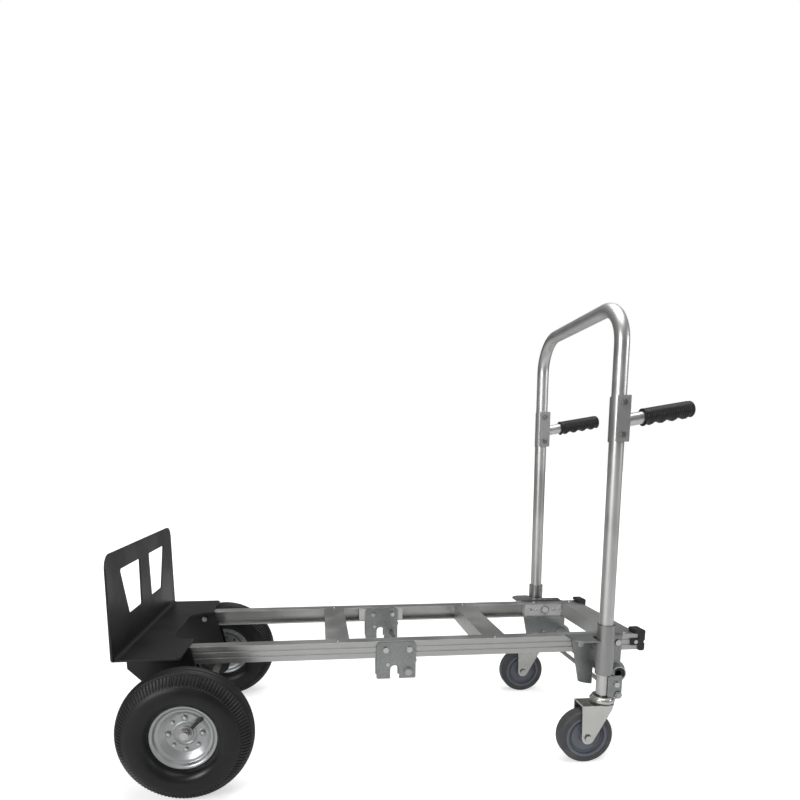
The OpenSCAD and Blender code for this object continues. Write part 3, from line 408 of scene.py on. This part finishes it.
ALONG_X, ALONG_Z = (0.02, 1, 1), (1, 1, 0.02)
MATERIALS = {
    "rail_aluminium": finish_material(
        "Rail aluminium", (0.44, 0.44, 0.432), (0.58, 0.58, 0.568), 1.0, 0.40, 0.07,
        stretch=ALONG_X, grain_scale=1400.0, bump=0.35, bump_depth=0.03 * MM,
        edge_colour=(0.72, 0.72, 0.72), dust=0.10,
    ),
    "tube_aluminium": finish_material(
        "Tube aluminium", (0.54, 0.54, 0.532), (0.68, 0.68, 0.672), 1.0, 0.40, 0.06,
        stretch=ALONG_Z, grain_scale=1400.0, bump=0.25, bump_depth=0.02 * MM, dust=0.05,
    ),
    "cast_aluminium": finish_material(
        "Cast aluminium", (0.55, 0.55, 0.545), (0.74, 0.74, 0.735), 0.7, 0.5, 0.08,
        grain_scale=700.0, bump=0.8, bump_depth=0.12 * MM, dust=0.15,
    ),
    "bracket_zinc": finish_material(
        "Zinc plated sheet", (0.19, 0.20, 0.20), (0.38, 0.395, 0.39), 0.9, 0.36, 0.1,
        grain_scale=320.0, bump=0.5, bump_depth=0.04 * MM, edge_colour=(0.62, 0.62, 0.6), dust=0.12,
    ),
    "brace_steel": finish_material(
        "Brace tube steel", (0.42, 0.43, 0.43), (0.55, 0.56, 0.56), 0.9, 0.34, 0.08,
        grain_scale=500.0, bump=0.3, bump_depth=0.03 * MM, dust=0.1,
    ),
    "sleeve_zinc": finish_material(
        "Sleeve steel", (0.27, 0.272, 0.27), (0.39, 0.392, 0.385), 0.95, 0.34, 0.08,
        stretch=ALONG_Z, grain_scale=1100.0, bump=0.3, bump_depth=0.03 * MM, dust=0.08,
    ),
    "axle_steel": finish_material(
        "Axle steel", (0.42, 0.42, 0.41), (0.58, 0.58, 0.57), 0.95, 0.3, 0.08,
        grain_scale=800.0, bump=0.3, bump_depth=0.02 * MM, dust=0.2,
    ),
    "bolt_steel": finish_material(
        "Bolt steel", (0.46, 0.46, 0.46), (0.64, 0.64, 0.63), 1.0, 0.24, 0.08,
        grain_scale=900.0, bump=0.3, bump_depth=0.02 * MM, edge_radius=0.4 * MM, dust=0.1,
    ),
    "latch_steel": finish_material(
        "Latch steel", (0.38, 0.385, 0.38), (0.52, 0.53, 0.52), 0.9, 0.34, 0.08,
        grain_scale=700.0, bump=0.3, bump_depth=0.03 * MM, dust=0.15,
    ),
    "spring_steel": finish_material(
        "Spring wire", (0.25, 0.25, 0.25), (0.36, 0.36, 0.35), 0.95, 0.35, 0.06,
        grain_scale=1500.0, bump=0.2, bump_depth=0.01 * MM, edge_radius=0.2 * MM,
    ),
    "fork_zinc": finish_material(
        "Bright zinc fork", (0.50, 0.50, 0.48), (0.68, 0.67, 0.64), 0.95, 0.24, 0.08,
        grain_scale=420.0, bump=0.25, bump_depth=0.03 * MM, edge_colour=(0.8, 0.79, 0.76),
        dust=0.12,
    ),
    "rim_zinc": finish_material(
        "Zinc plated rim", (0.36, 0.375, 0.375), (0.47, 0.485, 0.485), 0.92, 0.42, 0.08,
        grain_scale=520.0, bump=0.25, bump_depth=0.03 * MM, edge_colour=(0.7, 0.7, 0.7), dust=0.18,
    ),
    "toe_paint": finish_material(
        "Toe plate powder coat", (0.008, 0.008, 0.009), (0.015, 0.015, 0.016), 0.0, 0.42, 0.06,
        grain_scale=1100.0, bump=0.35, bump_depth=0.08 * MM, edge_colour=(0.10, 0.10, 0.10),
        dust=0.02, gloss=0.4,
    ),
    "bracket_paint": finish_material(
        "Bracket powder coat", (0.006, 0.006, 0.0065), (0.012, 0.012, 0.013), 0.0, 0.4, 0.06,
        grain_scale=1100.0, bump=0.35, bump_depth=0.08 * MM, edge_colour=(0.07, 0.07, 0.07),
        dust=0.02, gloss=0.4,
    ),
    "cap_plastic": finish_material(
        "Cap plastic", (0.010, 0.010, 0.010), (0.018, 0.018, 0.018), 0.0, 0.45, 0.06,
        grain_scale=1600.0, bump=0.4, bump_depth=0.04 * MM, dust=0.08,
    ),
    "plug_plastic": finish_material(
        "Plug plastic", (0.02, 0.02, 0.022), (0.04, 0.04, 0.043), 0.0, 0.5, 0.06,
        grain_scale=1600.0, bump=0.4, bump_depth=0.04 * MM, dust=0.1,
    ),
    "grip_rubber": finish_material(
        "Grip rubber", (0.005, 0.005, 0.0055), (0.011, 0.011, 0.012), 0.0, 0.45, 0.07,
        grain_scale=1500.0, bump=0.5, bump_depth=0.05 * MM, edge_radius=0.4 * MM,
        dust=0.02, gloss=0.4,
    ),
    "tyre_rubber": finish_material(
        "Tyre rubber", (0.0030, 0.0030, 0.0034), (0.0065, 0.0065, 0.0072), 0.0, 0.38, 0.07,
        grain_scale=900.0, bump=0.4, bump_depth=0.05 * MM, edge_radius=0.5 * MM,
        dust=0.02, gloss=0.35,
    ),
    "valve_rubber": finish_material(
        "Valve rubber", (0.006, 0.006, 0.006), (0.012, 0.012, 0.012), 0.0, 0.5, 0.05,
        grain_scale=1500.0, bump=0.4, bump_depth=0.03 * MM, edge_radius=0.4 * MM, dust=0.05,
    ),
    "tread_rubber": finish_material(
        "Caster tread rubber", (0.040, 0.041, 0.044), (0.065, 0.067, 0.071), 0.0, 0.55, 0.07,
        grain_scale=900.0, bump=0.4, bump_depth=0.05 * MM, dust=0.18,
    ),
    "hub_plastic": finish_material(
        "Caster hub plastic", (0.10, 0.112, 0.135), (0.145, 0.16, 0.19), 0.0, 0.45, 0.06,
        grain_scale=1100.0, bump=0.3, bump_depth=0.04 * MM, edge_radius=0.5 * MM, dust=0.12,
    ),
}

for part in frame["record"]["subparts"]:
    shown = nodes[part["node"]]
    shown.data.materials.clear()
    shown.data.materials.append(MATERIALS[part["material_slot"]])


# ---------------------------------------------------------------- tyres

TYRE_R, TYRE_HALF, SIDE_R, WALL = 130 * MM, 44 * MM, 22 * MM, 6 * MM
CROWN_R = TYRE_R - TYRE_HALF
LUGS, SAMPLES_PER_LUG = 112, 6
LUG_DEPTH, GROOVE_DEPTH, RING_DEPTH, TOOTH_DEPTH = 3.6 * MM, 3.6 * MM, 0.45 * MM, 0.9 * MM
GROOVE_ANGLES, RING_ANGLES = (5.5, 16.5, 27.0), (66.0, 92.0, 128.0)


def tyre_outline():
    """Half of the tyre's outside: the crown's circle from its middle to the widest point, then a
    tighter circle down the sidewall. Gives radius, width, way out and angle from the top."""
    crown = np.radians(np.linspace(0, 90, 44))
    side = np.radians(np.linspace(90, 178, 14))[1:]
    radius = np.concatenate([CROWN_R + TYRE_HALF * np.cos(crown), CROWN_R + SIDE_R * np.cos(side)])
    width = np.concatenate([TYRE_HALF * np.sin(crown), SIDE_R + SIDE_R * np.sin(side)])
    angle = np.concatenate([crown, side])
    return radius, width, np.cos(angle), np.sin(angle), np.degrees(angle)


def tread_depth(angle, turn):
    """How far the rubber lies under the full section: grooves round the crown, radial slots
    between the lugs on the shoulder, and faint rings on the sidewall."""
    grooves = sum(window(angle, g - 1.3, g + 1.3, 1.6) for g in GROOVE_ANGLES)
    shoulder = window(angle, 28.0, 60.0, 4.0)
    phase = (turn * LUGS / TAU) % 1.0
    slot = window(phase, 0.5, 0.96, 0.24)
    rings = sum(window(angle, g - 0.8, g + 0.8, 1.6) for g in RING_ANGLES)
    depth = GROOVE_DEPTH * grooves + LUG_DEPTH * shoulder * slot + RING_DEPTH * rings
    # the narrow ribs round the crown are cut across in short saw teeth
    teeth = window(angle, 8.0, 14.0, 2.0) + window(angle, 19.0, 25.0, 2.0)
    tooth = window((phase * 2) % 1.0, 0.1, 0.55, 0.4)
    return depth + TOOTH_DEPTH * teeth * tooth


def tyre(name, centre):
    """The tyre as one closed skin: the outside goes from bead to bead over the crown, and the
    inside comes back 6 mm under it."""
    radius, width, out_r, out_w, angle = tyre_outline()
    turn = np.linspace(0, TAU, LUGS * SAMPLES_PER_LUG, endpoint=False)[:, None]
    depth = tread_depth(angle[None, :], turn)
    half_r = radius[None, :] - depth * out_r[None, :]
    half_w = width[None, :] - depth * out_w[None, :]
    bead = np.array([[61.6, 21.4], [59.0, 20.1], [57.3, 15.5], [57.6, 11.0], [69.5, 11.0]]) * MM
    inner_half, inner_side_r = TYRE_HALF - WALL, SIDE_R - WALL
    low_side = np.radians(np.array([170, 140, 110, 90]))
    inner_side = np.stack(
        [CROWN_R + inner_side_r * np.cos(low_side), SIDE_R + inner_side_r * np.sin(low_side)], -1
    )
    high_side = np.radians(np.array([70, 45, 20]))
    inner_top = np.stack(
        [CROWN_R + inner_half * np.cos(high_side), inner_half * np.sin(high_side)], -1
    )
    hidden = np.concatenate([bead, inner_side, inner_top])
    ones = np.ones((len(turn), 1))
    half = np.stack(
        [
            np.concatenate([half_r, ones * hidden[None, :, 0]], 1),
            np.concatenate([half_w, ones * hidden[None, :, 1]], 1),
        ],
        -1,
    )
    other = half[:, ::-1] * np.array([1, -1])
    profile = np.concatenate([half, other[:, :-1]], 1)
    grid = np.stack(
        [
            centre[0] + profile[..., 0] * np.cos(turn),
            centre[1] + profile[..., 1],
            centre[2] + profile[..., 0] * np.sin(turn),
        ],
        -1,
    )
    return sheet_of_points(name, grid)


for side in ("left", "right"):
    finished(
        tyre(f"tyre_tread_{side}", middle_of(f"tyre_{side}")),
        f"main_wheel_{side}",
        MATERIALS["tyre_rubber"],
        "tyre_rubber",
        f"tyre_{side}",
    )


# ---------------------------------------------------------------- rims

# the rim's section is worked out in millimetres
HUB_OUT, HUB_IN, DISC = 6.0, 57.0, 2.5
BOSS_TURNS = np.radians([0, 90, 180])
BOLT_RING, RIM_TURNS = 32 * MM, 240
HUB_RIDGE, HUB_RIDGE_R = 1.3 * MM, 21.5 * MM
BOLT_RIDGE, BOLT_RIDGE_R = 1.1 * MM, 6.3 * MM


def rim_outline():
    """The rim's section as (radius, width): outside hub end, disc, cone and rolled lip, then the
    same on the inner side with the long hub tube. The disc's outer face has many samples."""
    face = [[radius, DISC] for radius in np.arange(17, 39.5, 0.75)]
    outer = [[49.5, 15], [54.2, 16.6], [57.2, 22.2], [60.5, 24], [63.5, 24], [63.5, 21.8],
             [61.4, 21.8], [59, 20.2], [56, 14.2], [51, 12.6], [42, 0.4]]
    inner = [[r, -w] for r, w in outer[::-1]]
    hub = [[40, -DISC], [15, -DISC], [15, -HUB_IN], [8.2, -HUB_IN], [8.2, HUB_OUT], [15, HUB_OUT],
           [15, DISC]]
    bend = rounded(outer + inner + hub, 1.1, 5)
    return np.concatenate([np.array(face), bend]) * MM, len(face)


def rim(name, centre, outward_sign):
    """A pressed rim turned round the axle. Its disc has a ridge round the hub, and one round each
    of three bolts: each ridge is a bell curve of the distance from its own circle. The sign is -1
    for the left wheel and +1 for the right one."""
    outline, face = rim_outline()
    grid = turned(outline * np.array([1, outward_sign]), centre, RIM_TURNS)
    angle = np.linspace(0, TAU, RIM_TURNS, endpoint=False)[:, None]
    radius = outline[None, :face, 0]
    height = HUB_RIDGE * np.exp(-(((radius - HUB_RIDGE_R) / (1.5 * MM)) ** 2))
    for turn in BOSS_TURNS:
        across = radius * np.cos(angle) - BOLT_RING * math.cos(turn)
        along = radius * np.sin(angle) - BOLT_RING * math.sin(turn)
        away = np.hypot(across, along)
        height = height + BOLT_RIDGE * np.exp(-(((away - BOLT_RIDGE_R) / (1.1 * MM)) ** 2))
    grid[:, :face, 1] += outward_sign * height
    return sheet_of_points(name, grid)


for side, outward_sign in (("left", -1), ("right", 1)):
    finished(
        rim(f"rim_pressed_{side}", middle_of(f"tyre_{side}"), outward_sign),
        f"main_wheel_{side}",
        MATERIALS["rim_zinc"],
        "rim_zinc",
        f"rim_{side}",
    )


# ---------------------------------------------------------------- latch spring and cast rings


def spring(name, node):
    """A wire wound round the latch rod: a circle of wire carried along a helix from one end of
    the CAD spring's box to the other, with both ends rounded off to a point."""
    low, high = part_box(node)
    wire = 0.9 * MM
    coil = (high.z - low.z) / 2 - wire
    centre = middle_of(node)
    turns, steps_per_turn = 13, 28
    t = np.linspace(0, 1, turns * steps_per_turn)
    angle = TAU * turns * t
    path = np.stack(
        [
            centre.x + coil * np.cos(angle),
            low.y + wire + (high.y - low.y - 2 * wire) * t,
            centre.z + coil * np.sin(angle),
        ],
        -1,
    )
    away = np.stack([np.cos(angle), 0 * angle, np.sin(angle)], -1)
    along = np.gradient(path, axis=0)
    along /= np.linalg.norm(along, axis=1, keepdims=True)
    side = np.cross(along, away)
    thick = wire * np.sqrt(np.clip(1 - np.abs(2 * t - 1) ** 60, 1e-4, 1))
    turn = np.linspace(0, TAU, 10, endpoint=False)
    ring = np.cos(turn)[None, :, None] * away[:, None] + np.sin(turn)[None, :, None] * side[:, None]
    grid = path[:, None] + thick[:, None, None] * ring
    return capped(name, grid)


def capped(name, grid):
    """A closed skin of a tube of points whose two ends are drawn in to a middle point."""
    first = np.repeat(grid[:1].mean(axis=1, keepdims=True), grid.shape[1], axis=1)
    last = np.repeat(grid[-1:].mean(axis=1, keepdims=True), grid.shape[1], axis=1)
    return sheet_of_points(name, np.concatenate([first, grid, last]), round_first=False)


def cast_ring(name, x, y, z, radius, outward_sign):
    """A raised ring on a cast block: a rounded ridge turned round the block's bolt line."""
    ridge = np.linspace(0, TAU, 12, endpoint=False)
    outline = np.stack([radius + 1.2 * MM * np.cos(ridge), 1.6 * MM * np.sin(ridge)], -1)
    return sheet_of_points(name, turned(outline * np.array([1, outward_sign]), (x, y, z), 48))


finished(
    spring("latch_spring_wound", "latch_spring"),
    "latch",
    MATERIALS["spring_steel"],
    "spring_steel",
    "latch_spring",
)
RAIL_MIDDLE = middle_of("rail_left").z
PIVOT_FROM_AXLE = 857 * MM
PIVOT_X = middle_of("axle").x + PIVOT_FROM_AXLE
RING_PLACES = ((-41, 7), (-24, 4.5), (24, 4.5), (41, 7))
for side, outward_sign in (("left", 1), ("right", -1)):
    rail_low, rail_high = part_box(f"rail_{side}")
    face = rail_high.y if side == "left" else rail_low.y
    for place, radius in RING_PLACES:
        finished(
            cast_ring(
                f"cast_ring_{side}_{place + 41}",
                PIVOT_X + place * MM,
                face + outward_sign * 0.4 * MM,
                RAIL_MIDDLE,
                radius * MM,
                outward_sign,
            ),
            "frame",
            MATERIALS["cast_aluminium"],
            "cast_aluminium",
        )


# ---------------------------------------------------------------- grips

GRIP_R, GRIP_BORE, GRIP_LENGTH, GRIP_TILT = 17.5 * MM, 12.7 * MM, 106 * MM, math.radians(9.5)
RIB_PITCH, RIB_HEIGHT, FINGER_PITCH, FINGER_DEPTH = 4.4 * MM, 0.5 * MM, 24 * MM, 4.6 * MM


def grip(name, node):
    """A moulded grip: a tube round a tilted line, with fine ribs round it, a rounded free end and
    four finger hollows that are deepest underneath."""
    low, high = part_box(node)
    length = GRIP_LENGTH
    along = np.array([math.cos(GRIP_TILT), 0, math.sin(GRIP_TILT)])
    up = np.array([-math.sin(GRIP_TILT), 0, math.cos(GRIP_TILT)])
    across = np.array([0, 1, 0])
    y = (low.y + high.y) / 2
    start_x = low.x + GRIP_R * math.sin(GRIP_TILT)
    start_z = low.z + GRIP_R * math.cos(GRIP_TILT)
    start = np.array([start_x, y, start_z])
    t = np.linspace(0, 1, 170)
    turn = np.linspace(0, TAU, 72, endpoint=False)[:, None]
    s = (t * length)[None, :]
    ribbed = window(s, 8 * MM, length - 12 * MM, 3 * MM)
    ribs = RIB_HEIGHT * np.cos(TAU * s / RIB_PITCH) * ribbed
    under = np.clip(-np.sin(turn), 0, 1) ** 1.5
    fingers = np.cos(TAU * (s - 14 * MM) / FINGER_PITCH) * 0.5 - 0.5
    hollow = FINGER_DEPTH * fingers * under * window(s, 4 * MM, length - 8 * MM, 8 * MM)
    end = np.clip((s - (length - 8 * MM)) / (8 * MM), 0, 1)
    collar = window(s, -1 * MM, 4 * MM, 1 * MM)
    body_r = GRIP_R - 0.7 * MM + ribs + hollow + 0.6 * MM * collar
    radius = body_r * np.sqrt(np.clip(1 - end**2 * 0.94, 0, 1))
    bore = np.array([[GRIP_BORE, 0], [GRIP_BORE, length - 10 * MM], [0, length - 8 * MM]])
    ones = np.ones((len(turn), 1))
    all_r = np.concatenate([0 * ones, radius[:, ::-1], ones * bore[:, 0]], 1)
    all_s = np.concatenate([length * ones, s[:, ::-1] * ones, ones * bore[:, 1]], 1)
    grid = (
        start
        + all_s[..., None] * along
        + (all_r * np.cos(turn))[..., None] * across
        + (all_r * np.sin(turn))[..., None] * up
    )
    return sheet_of_points(name, grid, round_second=False)


for side in ("left", "right"):
    finished(
        grip(f"grip_moulded_{side}", f"grip_{side}"),
        "handle",
        MATERIALS["grip_rubber"],
        "grip_rubber",
        f"grip_{side}",
    )


# ---------------------------------------------------------------- floor, light and camera

FLOOR_SIZE, NEAR_GLOW, FAR_GLOW = 60.0, 0.58, 1.0


def floor_material():
    """A pale matt floor that glows a little to the eye, so that it fades into the white behind."""
    material = bpy.data.materials.new("Studio floor")
    material.use_nodes = True
    w = Wiring(material.node_tree)
    shader = material.node_tree.nodes["Principled BSDF"]
    shader.inputs["Base Color"].default_value = (0.80, 0.80, 0.80, 1)
    shader.inputs["Roughness"].default_value = 0.9
    shader.inputs["Specular IOR Level"].default_value = 0.0
    shader.inputs["Emission Color"].default_value = (1, 1, 1, 1)
    length = w.add("ShaderNodeVectorMath", operation="LENGTH")
    w.join(w.add("ShaderNodeTexCoord").outputs["Object"], length.inputs[0])
    glow = w.stretch(length.outputs["Value"], 0.8, 2.6, NEAR_GLOW, FAR_GLOW)
    glow = w.maths("MULTIPLY", w.add("ShaderNodeLightPath").outputs["Is Camera Ray"], glow)
    w.join(glow, shader.inputs["Emission Strength"])
    return material


def floor():
    """A wide flat floor under the wheels."""
    reach = FLOOR_SIZE / 2
    corners = [[-reach, -reach, 0], [reach, -reach, 0], [reach, reach, 0], [-reach, reach, 0]]
    points = np.array(corners)
    piece = mesh_piece("studio_floor", points, np.array([[0, 1, 2, 3]]))
    piece.data.materials.append(floor_material())


def soft_light(name, place, target, size, power, colour=(1, 1, 1)):
    """A square soft light that faces its target."""
    data = bpy.data.lights.new(name, "AREA")
    data.shape, data.size, data.energy, data.color = "SQUARE", size, power, colour
    lamp = bpy.data.objects.new(name, data)
    lamp.location = place
    lamp.rotation_euler = (Vector(target) - Vector(place)).to_track_quat("-Z", "Y").to_euler()
    bpy.context.scene.collection.objects.link(lamp)


def studio_world():
    """White behind the object; a softer shaded room in what it reflects and is lit by."""
    world = bpy.data.worlds.new("Studio")
    bpy.context.scene.world = world
    world.use_nodes = True
    tree = world.node_tree
    tree.nodes.clear()
    w = Wiring(tree)
    direction = w.add("ShaderNodeTexCoord").outputs["Generated"]
    parts = w.add("ShaderNodeSeparateXYZ")
    w.join(direction, parts.inputs[0])
    height = w.stretch(parts.outputs["Z"], -0.1, 0.7)
    room = w.mix(height, (0.30, 0.31, 0.32, 1), (1.0, 1.0, 1.0, 1))
    reflected = w.add("ShaderNodeBackground")
    w.join(room, reflected.inputs["Color"])
    reflected.inputs["Strength"].default_value = 0.32
    seen = w.add("ShaderNodeBackground")
    seen.inputs["Color"].default_value = (1, 1, 1, 1)
    choose = w.add("ShaderNodeMixShader")
    w.join(w.add("ShaderNodeLightPath").outputs["Is Camera Ray"], choose.inputs["Fac"])
    w.join(reflected.outputs[0], choose.inputs[1])
    w.join(seen.outputs[0], choose.inputs[2])
    w.join(choose.outputs[0], w.add("ShaderNodeOutputWorld").inputs["Surface"])


def camera():
    """The camera, placed from the main axle."""
    axle_x = middle_of("axle").x
    data = bpy.data.cameras.new("Camera")
    data.sensor_width, data.lens = 36.0, 25.64
    data.shift_x, data.shift_y = 0.0314, 0.199
    eye = bpy.data.objects.new("Camera", data)
    eye.location = (axle_x + 0.2584, -1.2973, 0.6412)
    eye.rotation_euler = (math.pi / 2 - 0.171, 0, -0.0993)
    bpy.context.scene.collection.objects.link(eye)
    bpy.context.scene.camera = eye


floor()
studio_world()
soft_light("Overhead light", (0.2, -0.2, 3.2), (0, 0, 0.2), 2.4, 62)
soft_light("Left key light", (-2.4, -2.4, 1.6), (-0.2, 0, 0.3), 1.0, 52)
soft_light("Right fill light", (2.8, -1.2, 1.4), (0, 0, 0.4), 0.8, 14)
camera()
bpy.context.scene.view_settings.view_transform = "Standard"
